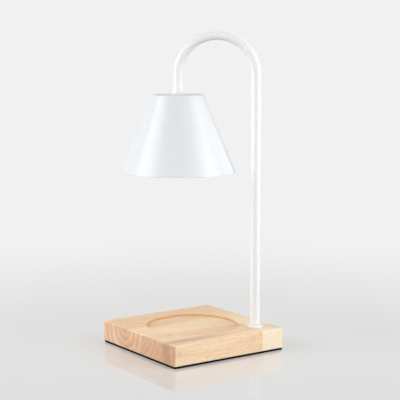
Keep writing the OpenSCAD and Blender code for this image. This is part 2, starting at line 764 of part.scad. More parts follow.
module bulb_front_glass() {
    color([0.9, 0.92, 0.95, 0.5]) at_head() translate([0, 0, bulb_face + face_seat - front_glass_thickness])
        cylinder(r = front_glass_radius, h = front_glass_thickness);
}

// The lamp's own capsule: a round tube whose pinched end is cemented into the ceramic neck
module bulb_capsule() {
    top = bulb_top - neck_height + neck_cup_depth;
    glass_bottom = top - capsule_pinch[2] - capsule_height;
    color([0.95, 0.95, 1, 0.5]) at_head() {
        translate([0, 0, glass_bottom + capsule_diameter / 2])
            cylinder(d = capsule_diameter, h = capsule_height - capsule_diameter / 2);
        translate([0, 0, glass_bottom + capsule_diameter / 2]) sphere(d = capsule_diameter);
        translate([-capsule_pinch[0] / 2, -capsule_pinch[1] / 2, top - capsule_pinch[2]])
            cube(capsule_pinch);
    }
}

wood_base();
foam_pad();
wiring_cover();
cover_screws();
cable_gland();
terminal_block();
terminal_inserts();
terminal_screws();
base_leads();
foot_flange();
swivel_washer();
post_bush();
stop_pin();
arm_tube();
foot_spigot();
stop_washer();
foot_washer();
foot_spring_washer();
foot_nut();
arm_leads();
head_spigot();
shade_collar();
shade();
shade_gasket();
holder_bracket();
head_lock_washer();
head_nut();
holder_front();
holder_back();
holder_contacts();
holder_screws();
bulb_base();
bulb_pins();
bulb_reflector();
bulb_front_glass();
bulb_capsule();
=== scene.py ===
import bpy
import bmesh
import math
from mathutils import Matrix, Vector


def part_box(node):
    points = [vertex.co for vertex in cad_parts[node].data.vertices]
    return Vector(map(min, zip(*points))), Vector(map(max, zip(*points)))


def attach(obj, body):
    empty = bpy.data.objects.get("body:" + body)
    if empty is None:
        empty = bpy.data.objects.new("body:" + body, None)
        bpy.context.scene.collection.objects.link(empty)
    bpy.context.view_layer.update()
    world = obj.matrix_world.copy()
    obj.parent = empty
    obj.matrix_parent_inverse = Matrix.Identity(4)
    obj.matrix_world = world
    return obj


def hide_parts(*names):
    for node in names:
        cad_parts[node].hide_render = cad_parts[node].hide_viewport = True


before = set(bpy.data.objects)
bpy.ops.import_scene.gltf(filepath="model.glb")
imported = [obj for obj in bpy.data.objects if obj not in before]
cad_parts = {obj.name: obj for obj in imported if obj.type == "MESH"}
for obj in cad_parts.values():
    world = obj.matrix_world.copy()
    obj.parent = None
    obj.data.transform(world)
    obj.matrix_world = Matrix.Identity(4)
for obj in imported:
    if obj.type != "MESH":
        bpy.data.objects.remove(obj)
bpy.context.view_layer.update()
bpy.ops.object.select_all(action="DESELECT")
scene = bpy.context.scene
scene.view_settings.view_transform = "Standard"


# ---------------------------------------------------------------- camera, floor and lights
# The lamp stands on a pale floor, glossy near the lamp, that fades into an even background. Large
# soft lights stand to its left, to its right and in front, with two weak ones behind. The camera
# looks at one corner of the base from just above.

def add_node(tree, kind, inputs=None, **settings):
    """A new shader node, whose inputs are set to values or linked to other nodes' outputs."""
    made = tree.nodes.new(kind)
    for key, value in settings.items():
        setattr(made, key, value)
    for key, value in (inputs or {}).items():
        if isinstance(value, bpy.types.NodeSocket):
            tree.links.new(value, made.inputs[key])
        else:
            made.inputs[key].default_value = value
    return made


def maths(tree, operation, a, b=0.0, clamp=False):
    """One sum on values or on other nodes' outputs."""
    return add_node(tree, "ShaderNodeMath", {0: a, 1: b}, operation=operation, use_clamp=clamp).outputs[0]


def ramp(tree, amount, low, high, first=0.0, last=1.0):
    """A smooth change from first to last, as the amount goes from low to high."""
    return add_node(tree, "ShaderNodeMapRange", {"Value": amount, "From Min": low, "From Max": high,
                                                 "To Min": first, "To Max": last},
                    interpolation_type="SMOOTHSTEP").outputs[0]


camera_turn, camera_tilt, camera_distance = math.radians(-34.94), math.radians(7.29), 1.3393
aim_right, aim_height = 0.00889, 0.16995
to_right = Vector((math.cos(camera_turn), math.sin(camera_turn), 0))
to_camera = Vector((math.sin(camera_turn) * math.cos(camera_tilt),
                    -math.cos(camera_turn) * math.cos(camera_tilt), math.sin(camera_tilt)))
aim = to_right * aim_right + Vector((0, 0, aim_height))
bpy.ops.object.camera_add(location=aim + to_camera * camera_distance)
camera = bpy.context.object
camera.rotation_euler = (-to_camera).to_track_quat("-Z", "Y").to_euler()
camera.data.lens = 105.65
camera.data.sensor_width = 36
camera.data.clip_start = 0.05
scene.camera = camera

lamp_middle = Vector((0, 0, 0.17))


def softbox(name, bearing, elevation, distance, width, tall, power):
    """A soft light aimed at the lamp's middle. Its bearing is in degrees from the camera's own,
    its elevation in radians."""
    angle = camera_turn + math.radians(bearing)
    away = Vector((math.sin(angle) * math.cos(elevation), -math.cos(angle) * math.cos(elevation),
                   math.sin(elevation)))
    bpy.ops.object.light_add(type="AREA", location=lamp_middle + away * distance)
    light = bpy.context.object
    light.name = name
    light.rotation_euler = (-away).to_track_quat("-Z", "Y").to_euler()
    light.data.shape = "RECTANGLE"
    light.data.size, light.data.size_y = width, tall
    light.data.energy = power
    light.visible_camera = False
    return light


front_lights = [softbox("softbox_left", -72, 0.21, 1.5, 1.2, 1.5, 21.5),
                softbox("softbox_right", 67, 0.17, 1.5, 1.2, 1.4, 22.5),
                softbox("softbox_front", -2, 0.20, 1.9, 1.2, 1.0, 6)]
softbox("softbox_back_left", -142, 0.22, 1.6, 1.0, 1.3, 4.5).visible_glossy = False
softbox("softbox_back_right", 136, 0.22, 1.6, 1.0, 1.3, 4.5).visible_glossy = False

world = bpy.data.worlds.new("studio")
scene.world = world
world.use_nodes = True
sky = world.node_tree
sky.nodes.clear()
sky_rays = add_node(sky, "ShaderNodeLightPath").outputs
seen = maths(sky, "MAXIMUM", sky_rays["Is Camera Ray"], sky_rays["Is Transmission Ray"])
sky_place = add_node(sky, "ShaderNodeTexCoord").outputs["Generated"]
direction = add_node(sky, "ShaderNodeSeparateXYZ", {0: sky_place})
room_strength = add_node(sky, "ShaderNodeMapRange", {"Value": direction.outputs[2],
                                                     "From Min": -0.25, "From Max": 0.35,
                                                     "To Min": 0.15, "To Max": 0.28})
room = add_node(sky, "ShaderNodeBackground", {"Color": (1, 0.985, 0.97, 1),
                                              "Strength": room_strength.outputs[0]})
mirrored = add_node(sky, "ShaderNodeBackground", {"Color": (0.97, 0.985, 1, 1), "Strength": 0.82})
backdrop = add_node(sky, "ShaderNodeBackground", {"Color": (0.88, 0.88, 0.88, 1), "Strength": 1.0})
around = add_node(sky, "ShaderNodeMixShader", {0: sky_rays["Is Glossy Ray"], 1: room.outputs[0],
                                               2: mirrored.outputs[0]})
whole_sky = add_node(sky, "ShaderNodeMixShader", {0: seen, 1: around.outputs[0], 2: backdrop.outputs[0]})
add_node(sky, "ShaderNodeOutputWorld", {"Surface": whole_sky.outputs[0]})

floor_pale, floor_to_lamp = (0.805, 0.806, 0.808, 1), (0.38, 0.38, 0.39, 1)
fade_centre, fade_start, fade_end = (-0.145, -0.203, 0), -0.05, 1.05
gloss_centre, gloss_start, gloss_end = (-0.035, -0.050, 0), 0.14, 0.30
open_to_rays = 0.0035

bpy.ops.mesh.primitive_circle_add(vertices=96, radius=2.6, fill_type="NGON", location=(0, 0, 0))
floor = bpy.context.object
floor.name = "floor"
floor_finish = bpy.data.materials.new("floor_sheet")
floor_finish.use_nodes = True
sheet = floor_finish.node_tree
sheet.nodes.clear()
floor_rays = add_node(sheet, "ShaderNodeLightPath").outputs
on_floor = add_node(sheet, "ShaderNodeTexCoord").outputs["Object"]


def floor_distance(centre):
    """How far a place on the floor is from a centre."""
    return add_node(sheet, "ShaderNodeVectorMath", {0: on_floor, 1: centre},
                    operation="DISTANCE").outputs["Value"]


floor_colour = add_node(sheet, "ShaderNodeMix", {0: floor_rays["Is Diffuse Ray"], 6: floor_pale,
                                                 7: floor_to_lamp}, data_type="RGBA").outputs[2]
glossy = add_node(sheet, "ShaderNodeBsdfPrincipled", {"Base Color": floor_colour, "Roughness": 0.035,
                                                      "IOR": 1.9})
matte = add_node(sheet, "ShaderNodeBsdfDiffuse", {"Color": floor_colour})
gloss = ramp(sheet, floor_distance(gloss_centre), gloss_start, gloss_end, 1.0, 0.0)
surface = add_node(sheet, "ShaderNodeMixShader", {0: gloss, 1: matte.outputs[0], 2: glossy.outputs[0]})
# The floor is clear from below, and for rays that start close to it, so the underside gets light.
clear = add_node(sheet, "ShaderNodeBsdfTransparent")
from_close = maths(sheet, "LESS_THAN", floor_rays["Ray Length"], open_to_rays)
from_below = add_node(sheet, "ShaderNodeNewGeometry").outputs["Backfacing"]
fade = ramp(sheet, floor_distance(fade_centre), fade_start, fade_end, 1.0, 0.0)
solid = maths(sheet, "SUBTRACT", fade, maths(sheet, "MAXIMUM", from_close, from_below), clamp=True)
faded = add_node(sheet, "ShaderNodeMixShader", {0: solid, 1: clear.outputs[0], 2: surface.outputs[0]})
add_node(sheet, "ShaderNodeOutputMaterial", {"Surface": faded.outputs[0]})
floor.data.materials.append(floor_finish)


def light_group(name, piece, state):
    """A collection that takes one piece into a light's reach or leaves it out."""
    group = bpy.data.collections.new(name)
    group.objects.link(piece)
    group.collection_objects[0].light_linking.link_state = state
    return group


# Each front light has a twin for the floor alone, so that the floor's gloss doesn't mirror it.
all_but_floor = light_group("lit_without_floor", floor, "EXCLUDE")
only_floor = light_group("lit_floor", floor, "INCLUDE")
for light in front_lights:
    twin = light.copy()
    twin.name = light.name + "_on_floor"
    twin.visible_glossy = False
    scene.collection.objects.link(twin)
    light.light_linking.receiver_collection = all_but_floor
    twin.light_linking.receiver_collection = only_floor


# ---------------------------------------------------------------- wooden base
# A block of rubberwood, glued up from staves, with its edges rounded over and a shallow round
# recess routed in its top. The post's hole, the wiring pocket and the cable's hole are bored
# from below and from the side. It has a clear satin lacquer.

def pick(piece, kind, test):
    """Selects what passes the test in edit mode: vertices by their place and normal, or edges by
    their middle and direction."""
    bpy.context.tool_settings.mesh_select_mode = (kind == "VERT", kind == "EDGE", False)
    bpy.ops.mesh.select_all(action="DESELECT")
    mesh = bmesh.from_edit_mesh(piece.data)
    mesh.normal_update()
    if kind == "EDGE":
        for edge in mesh.edges:
            a, b = edge.verts
            if test((a.co + b.co) / 2, (b.co - a.co).normalized()):
                edge.select_set(True)
    else:
        for vert in mesh.verts:
            if test(vert.co, vert.normal):
                vert.select_set(True)
    mesh.select_flush_mode()
    bmesh.update_edit_mesh(piece.data)


def new_block(low, high):
    """A cube primitive between two corners, left in edit mode, with its object at the origin."""
    low, high = Vector(low), Vector(high)
    bpy.ops.object.select_all(action="DESELECT")
    bpy.ops.mesh.primitive_cube_add(size=1, location=(low + high) / 2, scale=high - low)
    bpy.ops.object.transform_apply(location=True, rotation=True, scale=True)
    bpy.ops.object.mode_set(mode="EDIT")
    return bpy.context.object


def turned(profile, centre=(0, 0), steps=96, closed=True):
    """A piece turned on an upright axis: one ring for each (radius, height), extruded and resized
    in turn. A closed profile joins the last ring to the first; an open one is filled at both ends."""
    x, y = centre
    bpy.ops.object.select_all(action="DESELECT")
    bpy.ops.mesh.primitive_circle_add(vertices=steps, radius=profile[0][0], location=(x, y, profile[0][1]))
    bpy.ops.object.transform_apply(location=True, rotation=True, scale=True)
    piece = bpy.context.object
    bpy.ops.object.mode_set(mode="EDIT")
    bpy.context.tool_settings.mesh_select_mode = (False, True, False)
    bpy.ops.mesh.select_all(action="SELECT")
    if not closed:
        bpy.ops.mesh.edge_face_add()
    for (r0, z0), (r1, z1) in zip(profile, profile[1:]):
        bpy.ops.mesh.extrude_region()
        bpy.ops.transform.translate(value=(0, 0, z1 - z0))
        bpy.ops.transform.resize(value=(r1 / r0, r1 / r0, 1), center_override=(x, y, z1))
    if closed:
        mesh = bmesh.from_edit_mesh(piece.data)
        for edge in mesh.edges:
            edge.select_set(edge.is_boundary)
        bmesh.update_edit_mesh(piece.data)
        bpy.ops.mesh.bridge_edge_loops()
    bpy.ops.mesh.select_all(action="SELECT")
    bpy.ops.mesh.normals_make_consistent(inside=False)
    bpy.ops.object.mode_set(mode="OBJECT")
    return piece


def arc_points(x, y, radius, first, last, steps):
    """Points round an arc, in degrees from the +x side."""
    return [(x + radius * math.cos(math.radians(first + (last - first) * i / steps)),
             y + radius * math.sin(math.radians(first + (last - first) * i / steps)))
            for i in range(steps + 1)]


def cut(piece, *cutters):
    """Cuts each cutter's solid out of the piece and deletes it."""
    for cutter in cutters:
        bpy.context.view_layer.objects.active = piece
        bite = piece.modifiers.new("cut", "BOOLEAN")
        bite.operation, bite.solver, bite.object = "DIFFERENCE", "EXACT", cutter
        bpy.ops.object.modifier_apply(modifier=bite.name)
        bpy.data.objects.remove(cutter)
    return piece


def smooth(piece, angle=40):
    """Smooth shading with crisp edges above an angle, and flat faces kept flat."""
    bpy.ops.object.select_all(action="DESELECT")
    piece.select_set(True)
    bpy.context.view_layer.objects.active = piece
    bpy.ops.object.shade_smooth_by_angle(angle=math.radians(angle))
    flat = piece.modifiers.new("flat faces", "WEIGHTED_NORMAL")
    flat.keep_sharp = True
    bpy.ops.object.modifier_apply(modifier=flat.name)
    bpy.ops.object.select_all(action="DESELECT")
    return piece


def mount(piece, name, body, slot, finish, *nodes):
    """Names a finished piece, gives it its material, and sets it on the body that carries it."""
    piece.name = piece.data.name = name
    piece.data.materials.clear()
    piece.data.materials.append(finish)
    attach(piece, body)
    if nodes:
        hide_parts(*nodes)
    return piece


side = 0.150
wood_low, wood_high = 0.0025, 0.0255
corner, edge_round, bottom_chamfer = 0.0025, 0.0015, 0.0005
recess_radius, recess_floor, recess_cove, recess_lip = 0.0525, 0.0230, 0.0012, 0.0005
post, post_hole_radius = (0.0515, -0.0515), 0.00565
toward, across = Vector((-1, 1, 0)).normalized(), Vector((-1, -1, 0)).normalized()
pocket_radius, pocket_top, pocket_length, fittings_top = 0.014, 0.0180, 0.040, 0.0200
cover_seat_radius, cover_seat_top = 0.02055, 0.004
stop_pin_out, stop_pin_hole, stop_pin_top = 0.0114, 0.00155, 0.02305
screw_out, screw_hole, screw_hole_top = 0.01745, 0.00135, 0.0125
gland_y, gland_z, gland_length, gland_seat_radius = -0.022, 0.011, 0.010, 0.00515
cable_hole_radius, cable_hole_start = 0.004, 0.046
touching, overcut, pole = 1e-5, 0.001, 0.0002

block = new_block((-side / 2, -side / 2, wood_low), (side / 2, side / 2, wood_high))
pick(block, "EDGE", lambda middle, along: abs(along.z) > 0.9)
bpy.ops.mesh.bevel(offset=corner, segments=6, clamp_overlap=False)
pick(block, "EDGE", lambda middle, along: abs(along.z) < 0.1 and abs(middle.z - wood_high) < touching)
bpy.ops.mesh.bevel(offset=edge_round, segments=5, clamp_overlap=False)
pick(block, "EDGE", lambda middle, along: abs(along.z) < 0.1 and abs(middle.z - wood_low) < touching)
bpy.ops.mesh.bevel(offset=bottom_chamfer, segments=2, clamp_overlap=False)
bpy.ops.object.mode_set(mode="OBJECT")

recess = turned([(pole, recess_floor)]
                + arc_points(recess_radius - recess_cove, recess_floor + recess_cove, recess_cove, -90, 0, 6)
                + arc_points(recess_radius + recess_lip, wood_high - recess_lip, recess_lip, 180, 90, 4)
                + [(recess_radius + recess_lip, wood_high + overcut), (pole, wood_high + overcut)],
                steps=160, closed=False)


def slot_cutter(low, high, radius):
    """The wiring pocket's outline, round at both ends, from the post towards the middle of the base."""
    bpy.ops.object.select_all(action="DESELECT")
    bpy.ops.mesh.primitive_cylinder_add(vertices=64, radius=radius, depth=high - low,
                                        location=(*post, (low + high) / 2))
    bpy.ops.object.transform_apply(location=True)
    piece = bpy.context.object
    bpy.ops.object.mode_set(mode="EDIT")
    bpy.ops.mesh.select_all(action="SELECT")
    bpy.ops.mesh.bisect(plane_co=(*post, 0), plane_no=toward)
    pick(piece, "VERT", lambda spot, facing: (spot - Vector((*post, spot.z))).dot(toward) > touching)
    bpy.ops.transform.translate(value=toward * pocket_length)
    bpy.ops.object.mode_set(mode="OBJECT")
    return piece


def bore(start, end, radius, steps=48):
    """A straight drilled hole's cutter between two points."""
    start, end = Vector(start), Vector(end)
    bpy.ops.object.select_all(action="DESELECT")
    bpy.ops.mesh.primitive_cylinder_add(vertices=steps, radius=radius, depth=(end - start).length,
                                        location=(start + end) / 2,
                                        rotation=(end - start).to_track_quat("Z", "Y").to_euler())
    bpy.ops.object.transform_apply(location=True, rotation=True)
    return bpy.context.object


screw_places = [Vector((*post, 0)) + toward * along + across * out
                for along in (0, pocket_length) for out in (-screw_out, screw_out)]
stop_pin_place = (Vector((*post, 0)) - toward * stop_pin_out).xy
gland_seat = side / 2 - gland_length

# Each cutter starts in the open or in a hollow that is cut before it.
below_wood, above_wood, beside_wood = 0.001, 0.0280, 0.080
in_pocket, in_fittings, in_cover_seat, in_gland_seat = 0.010, 0.0195, 0.003, 0.070
cut(block, recess, slot_cutter(below_wood, pocket_top, pocket_radius),
    slot_cutter(below_wood, cover_seat_top, cover_seat_radius),
    bore((*post, below_wood), (*post, fittings_top), pocket_radius, 64),
    bore((*post, in_pocket), (*post, above_wood), post_hole_radius),
    bore((*stop_pin_place, in_fittings), (*stop_pin_place, stop_pin_top), stop_pin_hole, 24),
    bore((gland_seat, gland_y, gland_z), (beside_wood, gland_y, gland_z), gland_seat_radius),
    bore((cable_hole_start, gland_y, gland_z), (in_gland_seat, gland_y, gland_z), cable_hole_radius, 40),
    *[bore((*spot.xy, in_cover_seat), (*spot.xy, screw_hole_top), screw_hole, 20)
      for spot in screw_places])
smooth(block)


def new_finish(name):
    """A new material, with its nodes and its main shader."""
    finish = bpy.data.materials.new(name)
    finish.use_nodes = True
    return finish, finish.node_tree, finish.node_tree.nodes["Principled BSDF"]


def blend_colours(tree, amount, first, second, mode="MIX"):
    """The first colour where the amount is 0, and the second laid over it where it is 1."""
    return add_node(tree, "ShaderNodeMix", {0: amount, 6: first, 7: second}, data_type="RGBA",
                    blend_type=mode).outputs[2]


def stretched_noise(tree, source, scale, size=1.0, detail=3.0, rough=0.55):
    """Noise on the object's own coordinates, stretched by a scale for each axis."""
    spread = add_node(tree, "ShaderNodeMapping", {"Vector": source, "Scale": scale})
    return add_node(tree, "ShaderNodeTexNoise", {"Vector": spread.outputs[0], "Scale": size,
                                                 "Detail": detail, "Roughness": rough}).outputs["Fac"]


pale_wood, warm_wood = (0.985, 0.775, 0.530, 1), (0.920, 0.660, 0.430, 1)
pale_stave, front_band_colour = (0.970, 0.860, 0.665, 1), (0.640, 0.415, 0.290, 1)
late_wood, end_ring = (0.660, 0.400, 0.210, 1), (0.560, 0.330, 0.200, 1)
dark_streak, light_streak = (0.800, 0.530, 0.300, 1), (0.950, 0.780, 0.560, 1)
pore_brown, fibre_brown = (0.420, 0.240, 0.110, 1), (0.560, 0.360, 0.200, 1)
glue_brown = (0.420, 0.250, 0.130, 1)
end_tint, front_end_tint = (0.930, 0.840, 0.840, 1), (0.900, 0.850, 0.820, 1)
middle_end_tint = (0.950, 0.915, 0.885, 1)
corner_dark_colour, recess_wall_shade_colour = (0.420, 0.250, 0.140, 1), (0.560, 0.300, 0.130, 1)
glue_line_y, stave_end_x, joint, front_band_y = -0.0095, 0.04495, 0.00015, -0.060
back_pith, back_ring_width = (0.0280, 0.0250), 0.0092
front_pith, front_ring_width = (0.0180, 0.0460), 0.0074

wood, grain, wood_skin = new_finish("lacquered_rubberwood")
in_wood = add_node(grain, "ShaderNodeTexCoord").outputs
wood_place = in_wood["Object"]
wood_x, wood_y, wood_z = add_node(grain, "ShaderNodeSeparateXYZ", {0: wood_place}).outputs
facing = add_node(grain, "ShaderNodeSeparateXYZ", {0: in_wood["Normal"]}).outputs


def times(a, b):
    return maths(grain, "MULTIPLY", a, b)


def plus(a, b):
    return maths(grain, "ADD", a, b)


def minus(a, b):
    return maths(grain, "SUBTRACT", a, b)


def unsigned(a):
    return maths(grain, "ABSOLUTE", a)


def length_of(a, b):
    return maths(grain, "SQRT", plus(times(a, a), times(b, b)))


wander = stretched_noise(grain, wood_place, (6, 38, 38), 1.0, 2.0)
ripple = stretched_noise(grain, wood_place, (10, 260, 260), 1.0, 2.0)
ring_bend = plus(times(wander, 0.0095), times(ripple, 0.0016))


def rings(pith, width):
    """Growth rings round a pith that runs along the stave: 0 to 1 across each ring."""
    radius = length_of(minus(wood_y, pith[0]), minus(wood_z, pith[1]))
    return maths(grain, "FRACT", maths(grain, "DIVIDE", plus(radius, ring_bend), width))


in_front = ramp(grain, wood_y, glue_line_y - joint, glue_line_y + joint, 1.0, 0.0)
ring = add_node(grain, "ShaderNodeMix", {0: in_front, 2: rings(back_pith, back_ring_width),
                                         3: rings(front_pith, front_ring_width)},
                data_type="FLOAT").outputs[0]
ring_line = maths(grain, "MAXIMUM", ramp(grain, ring, 0.20, 1.0), ramp(grain, ring, 0.0, 0.30, 1.0, 0.0))

# Marks of several sizes lie along the grain.
broad = stretched_noise(grain, wood_place, (5, 60, 60), 1.0, 2.0, 0.5)
streak = stretched_noise(grain, wood_place, (9, 420, 420), 1.0, 4.0, 0.6)
fibre = stretched_noise(grain, wood_place, (60, 2600, 2600), 1.0, 2.0, 0.6)
pore = ramp(grain, stretched_noise(grain, wood_place, (110, 2400, 2400), 1.0, 0.0, 0.5), 0.64, 0.70)

# Masks: the pale end of the front stave, end grain, the upright corners made darker, the recess's wall
# (partly its darker cut grain, partly painted shade), a darker band near the front edge.
pale_part = times(ramp(grain, wood_x, stave_end_x - joint, stave_end_x + joint), in_front)
end_grain = ramp(grain, unsigned(facing[0]), 0.70, 0.98)
# Darker on the rounded upright corners of the block.
corner_darkening = times(ramp(grain, unsigned(facing[0]), 0.35, 0.75), ramp(grain, unsigned(facing[1]), 0.25, 0.60))
from_middle = length_of(wood_x, wood_y)
# The recess's wall, just below its lip: partly its darker cut grain, partly painted shade.
near_edge = times(ramp(grain, from_middle, recess_radius - 0.0020, recess_radius - 0.0007),
                  ramp(grain, wood_z, wood_high - 0.0002, wood_high - 0.0005))
recess_wall_shade = times(near_edge, ramp(grain, from_middle, recess_radius + 0.0010, recess_radius + 0.0005))
# A darker brown band near the front edge, over the left half of the block.
off_front_band = unsigned(plus(minus(wood_y, front_band_y), times(minus(broad, 0.5), 0.030)))
front_band = times(ramp(grain, off_front_band, 0.011, 0.003), ramp(grain, wood_x, 0.020, -0.050))
off_glue = unsigned(minus(wood_y, glue_line_y))

tone = blend_colours(grain, ramp(grain, broad, 0.38, 0.62), pale_wood, warm_wood)
for where, strength, colour, mode in [
        (front_band, 0.85, front_band_colour, "MIX"),
        (times(ring_line, ramp(grain, broad, 0.3, 0.7)), 0.42, late_wood, "MIX"),
        (ramp(grain, streak, 0.47, 0.63), 0.44, dark_streak, "MIX"),
        (ramp(grain, streak, 0.46, 0.34), 0.40, light_streak, "MIX"),
        (pale_part, 0.74, pale_stave, "MIX"),
        (pore, 0.42, pore_brown, "MIX"),
        (ramp(grain, fibre, 0.35, 0.7), 0.08, fibre_brown, "MIX"),
        (end_grain, 1.0, end_tint, "MULTIPLY"),
        (times(end_grain, in_front), 1.0, front_end_tint, "MULTIPLY"),
        (times(end_grain, ramp(grain, wood_y, 0.045, 0.015)), 1.0, middle_end_tint, "MULTIPLY"),
        (times(end_grain, ring_line), 0.46, end_ring, "MIX"),
        (corner_darkening, 0.45, corner_dark_colour, "MIX"),
        # Painted shade on the recess's wall, over its darker cut grain.
        (recess_wall_shade, 0.75, recess_wall_shade_colour, "MIX"),
        (ramp(grain, off_glue, 0.00022, 0.00008), 0.35, glue_brown, "MIX")]:
    tone = blend_colours(grain, times(where, strength), tone, colour, mode)
grain.links.new(tone, wood_skin.inputs["Base Color"])
wood_relief = plus(times(fibre, 0.5), times(pore, -0.8))
bump = add_node(grain, "ShaderNodeBump", {"Strength": 0.25, "Distance": 0.0002, "Height": wood_relief})
grain.links.new(bump.outputs[0], wood_skin.inputs["Normal"])
grain.links.new(plus(0.40, times(fibre, 0.14)), wood_skin.inputs["Roughness"])
wood_skin.inputs["IOR"].default_value = 1.45
mount(block, "wooden_base", "base", "wood", wood, "wood_base")


# ---------------------------------------------------------------- foam pad
# A sheet of black EVA foam glued under the block, so that the lamp doesn't slip or scratch.
# It is set in a little from the edges and open where the wiring cover is screwed on.

def mottled(name, light, dark, marks, rough, metal=0.0, dimple=0.1, depth=0.00005, rough_swing=0.1):
    """A finish whose colour, gloss and surface vary a little. marks says how many fine marks lie
    on a metre."""
    finish, tree, skin = new_finish(name)
    place = add_node(tree, "ShaderNodeTexCoord").outputs["Object"]
    wide = stretched_noise(tree, place, (1, 1, 1), marks * 0.12, 3.0, 0.55)
    fine = stretched_noise(tree, place, (1, 1, 1), marks, 3.0, 0.6)
    colour = blend_colours(tree, ramp(tree, wide, 0.34, 0.68), (*light, 1), (*dark, 1))
    tree.links.new(colour, skin.inputs["Base Color"])
    tree.links.new(maths(tree, "ADD", rough - rough_swing / 2, maths(tree, "MULTIPLY", wide, rough_swing)),
                   skin.inputs["Roughness"])
    bump = add_node(tree, "ShaderNodeBump", {"Strength": dimple, "Distance": depth, "Height": fine})
    tree.links.new(bump.outputs[0], skin.inputs["Normal"])
    skin.inputs["Metallic"].default_value = metal
    return finish


def tune(finish, sockets):
    """Sets plain values on a finish's main shader."""
    for key, value in sockets.items():
        finish.node_tree.nodes["Principled BSDF"].inputs[key].default_value = value
    return finish


def dress(finish, *nodes):
    """Gives pieces that keep their shape from the frame their finish."""
    for node in nodes:
        for material_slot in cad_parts[node].material_slots:
            material_slot.material = finish


pad_side, pad_corner, pad_edge, pad_opening_radius = 0.1484, 0.002, 0.0002, 0.0210

pad = new_block((-pad_side / 2, -pad_side / 2, 0), (pad_side / 2, pad_side / 2, wood_low))
pick(pad, "EDGE", lambda middle, along: abs(along.z) > 0.9)
bpy.ops.mesh.bevel(offset=pad_corner, segments=5, clamp_overlap=False)
pick(pad, "EDGE", lambda middle, along: abs(along.z) < 0.1 and middle.z < touching)
bpy.ops.mesh.bevel(offset=pad_edge, segments=2, clamp_overlap=False)
bpy.ops.object.mode_set(mode="OBJECT")
smooth(cut(pad, slot_cutter(-overcut, wood_low + overcut, pad_opening_radius)))
foam = mottled("black_foam", (0.009, 0.009, 0.0095), (0.005, 0.005, 0.0055), 1400, 0.92,
               dimple=0.7, depth=0.00025)
tune(foam, {"Specular IOR Level": 0.08})
mount(pad, "foam_sheet", "base", "foam", foam, "foam_pad")


# ---------------------------------------------------------------- wiring pocket
# A sheet-steel cover, held by four countersunk screws, closes the pocket. Inside it are the mains
# terminals, moulded in polyamide with brass inserts, and two leads that run to the post.

zinc = mottled("zinc_plated_steel", (0.60, 0.61, 0.63), (0.50, 0.51, 0.54), 900, 0.34,
               metal=1.0, dimple=0.25, depth=0.00003, rough_swing=0.16)
brass = mottled("brass", (0.80, 0.60, 0.28), (0.70, 0.49, 0.20), 700, 0.30,
                metal=1.0, dimple=0.2, depth=0.00003, rough_swing=0.14)
polyamide = mottled("moulded_polyamide", (0.83, 0.825, 0.80), (0.79, 0.785, 0.76), 500, 0.42,
                    dimple=0.2, depth=0.00004)
lead_skin = mottled("silicone_lead_cover", (0.80, 0.79, 0.76), (0.73, 0.72, 0.69), 1100, 0.55, dimple=0.3)
dress(zinc, "wiring_cover", "cover_screws", "terminal_screws")
dress(brass, "terminal_inserts")
dress(polyamide, "terminal_block")
dress(lead_skin, "base_leads")


# ---------------------------------------------------------------- cable gland
# A flanged sleeve of white moulded plastic, pushed into the side of the block, that takes the
# mains cable. Its mouth is flared so that the cable isn't cut where it bends.

gland_bore, gland_sleeve, gland_flange = 0.0035, 0.0051, 0.0070
gland_top, gland_round, gland_flare = 0.0120, 0.0007, 0.0011

gland_profile = ([(gland_bore, 0), (gland_sleeve, 0), (gland_sleeve, gland_length),
                  (gland_flange, gland_length)]
                 + arc_points(gland_flange - gland_round, gland_top - gland_round, gland_round, 0, 90, 4)
                 + arc_points(gland_bore + gland_flare, gland_top - gland_flare, gland_flare, 90, 180, 4))
gland = turned(gland_profile, steps=64)
gland.rotation_euler = (0, math.radians(90), 0)
gland.location = (gland_seat, gland_y, gland_z)
gland.select_set(True)
bpy.context.view_layer.objects.active = gland
bpy.ops.object.transform_apply(location=True, rotation=True)
smooth(gland)
gland_plastic = mottled("white_gland_plastic", (0.82, 0.825, 0.83), (0.79, 0.795, 0.80), 600, 0.36,
                        dimple=0.2, depth=0.00004)
mount(gland, "flared_gland", "base", "white_plastic", gland_plastic, "cable_gland")


# ---------------------------------------------------------------- foot fittings
# A low turned flange on the wood carries the tube on a nylon washer. Below it the tube's spigot
# turns in a nylon bush, with a steel cam, washers and a nut that hold it and set its friction.

def powder_coat(name, light, dark):
    """Baked polyester powder: an even satin film with a fine orange-peel surface."""
    finish = mottled(name, light, dark, 620, 0.40, dimple=0.16, depth=0.00006, rough_swing=0.06)
    return tune(finish, {"IOR": 1.5, "Coat Weight": 0.50, "Coat Roughness": 0.27})


flange_bore, flange_socket, flange_radius, flange_edge = 0.0041, 0.0056, 0.00875, 0.00015
flange_side, flange_round, flange_lip = 0.0012, 0.0010, 0.0006
flange_floor, flange_top = wood_high + 0.0010, wood_high + 0.0034

flange_profile = ([(flange_bore, wood_high), (flange_radius - flange_edge, wood_high),
                   (flange_radius, wood_high + flange_edge)]
                  + arc_points(flange_radius - flange_round, wood_high + flange_side, flange_round, 0, 80, 6)
                  + arc_points(flange_socket + flange_lip, flange_top - flange_lip, flange_lip, 62, 90, 3)
                  + [(flange_socket + flange_edge, flange_top), (flange_socket, flange_top - flange_edge),
                     (flange_socket, flange_floor), (flange_bore, flange_floor)])
flange = smooth(turned(flange_profile, post, 80))
# The flange's white coat is made darker than the tube's: painted shade on the same white paint.
flange_coat_painted_darker = powder_coat("white_powder_coat_painted_darker", (0.755, 0.760, 0.780), (0.735, 0.742, 0.764))
mount(flange, "turned_flange", "base", "white_paint", flange_coat_painted_darker, "foot_flange")

